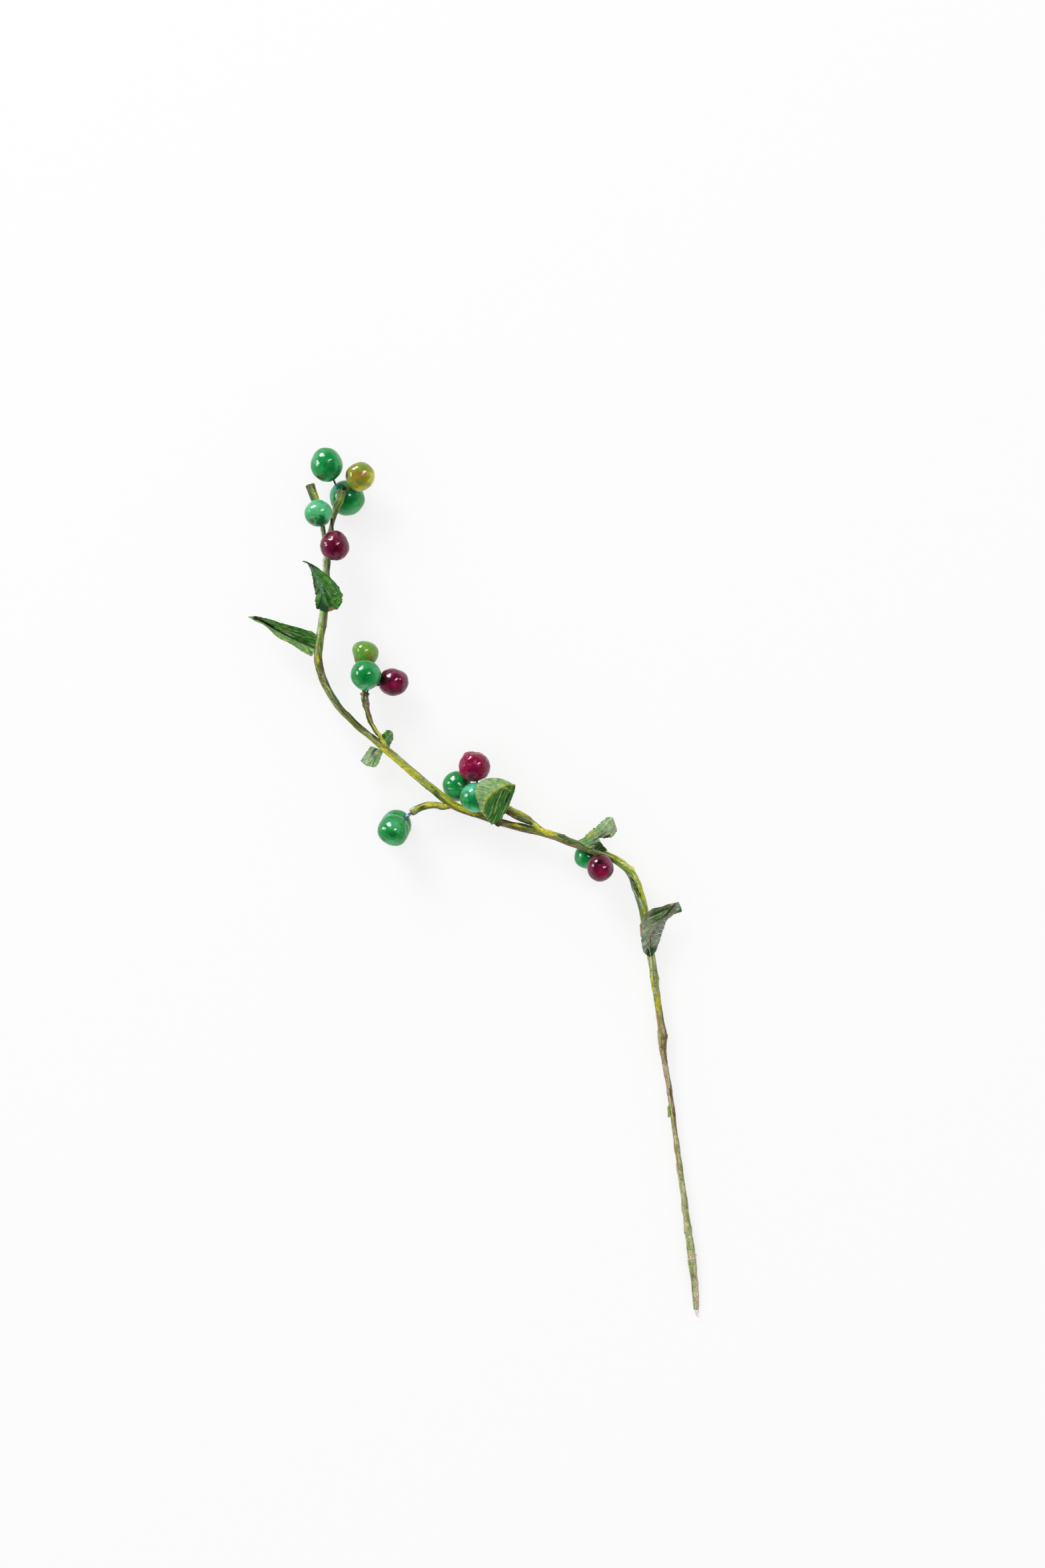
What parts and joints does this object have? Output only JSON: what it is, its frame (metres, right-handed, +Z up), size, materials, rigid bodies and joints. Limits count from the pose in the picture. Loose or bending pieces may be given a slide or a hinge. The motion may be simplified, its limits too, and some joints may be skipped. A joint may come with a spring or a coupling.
{
  "type": "chokeberry sprig",
  "caption": "Branching stem cut and laid down, with clusters of round berries on short stalks and a few small ribbed leaves.",
  "frame": {"origin": "centre of the sprig's outline, on the surface that it lies on", "axes": "+X to the right as seen from above, +Y towards the sprig's tip, +Z up from the surface"},
  "size_m": [0.1698, 0.3272, 0.0242],
  "materials": {
    "wrap": "painted in greens, thin varnish",
    "core": "matt, pale pink-white",
    "thread": "matt",
    "leaf": "fine ribs, thin varnish",
    "green": "glossy varnish over mottled paint",
    "yellow": "glossy varnish over mottled paint",
    "purple": "glossy varnish over mottled paint",
    "stalk": "thin painted wire"
  },
  "bodies": {
    "root": {"main_stem": "wrap", "stem_core": "core", "binding_thread": "thread", "twig_tip": "wrap", "twig_upper": "wrap", "twig_left": "wrap", "twig_middle": "wrap", "leaf_stalk": "wrap", "bud": "leaf", "leaf_tip": "leaf", "leaf_side": "leaf", "leaf_fork_upper": "leaf", "leaf_fork_lower": "leaf", "leaf_middle": "leaf", "leaf_lower": "leaf", "leaf_collar": "leaf", "berry_tip_green": "green", "berry_tip_yellow": "yellow", "berry_tip_back": "green", "berry_tip_small": "green", "berry_tip_purple": "purple", "berry_upper_yellow": "yellow", "berry_upper_green": "green", "berry_upper_purple": "purple", "berry_left_front": "green", "berry_left_back": "green", "berry_middle_purple": "purple", "berry_middle_back": "green", "berry_middle_front": "green", "berry_lower_green": "green", "berry_lower_purple": "purple", "stalk_tip_green": "stalk", "stalk_tip_yellow": "stalk", "stalk_tip_back": "stalk", "stalk_tip_small": "stalk", "stalk_tip_purple": "stalk", "stalk_upper_yellow": "stalk", "stalk_upper_green": "stalk", "stalk_upper_purple": "stalk", "stalk_left_front": "stalk", "stalk_left_back": "stalk", "stalk_middle_purple": "stalk", "stalk_middle_back": "stalk", "stalk_middle_front": "stalk", "stalk_lower_green": "stalk", "stalk_lower_purple": "stalk"}
  },
  "joints": []
}
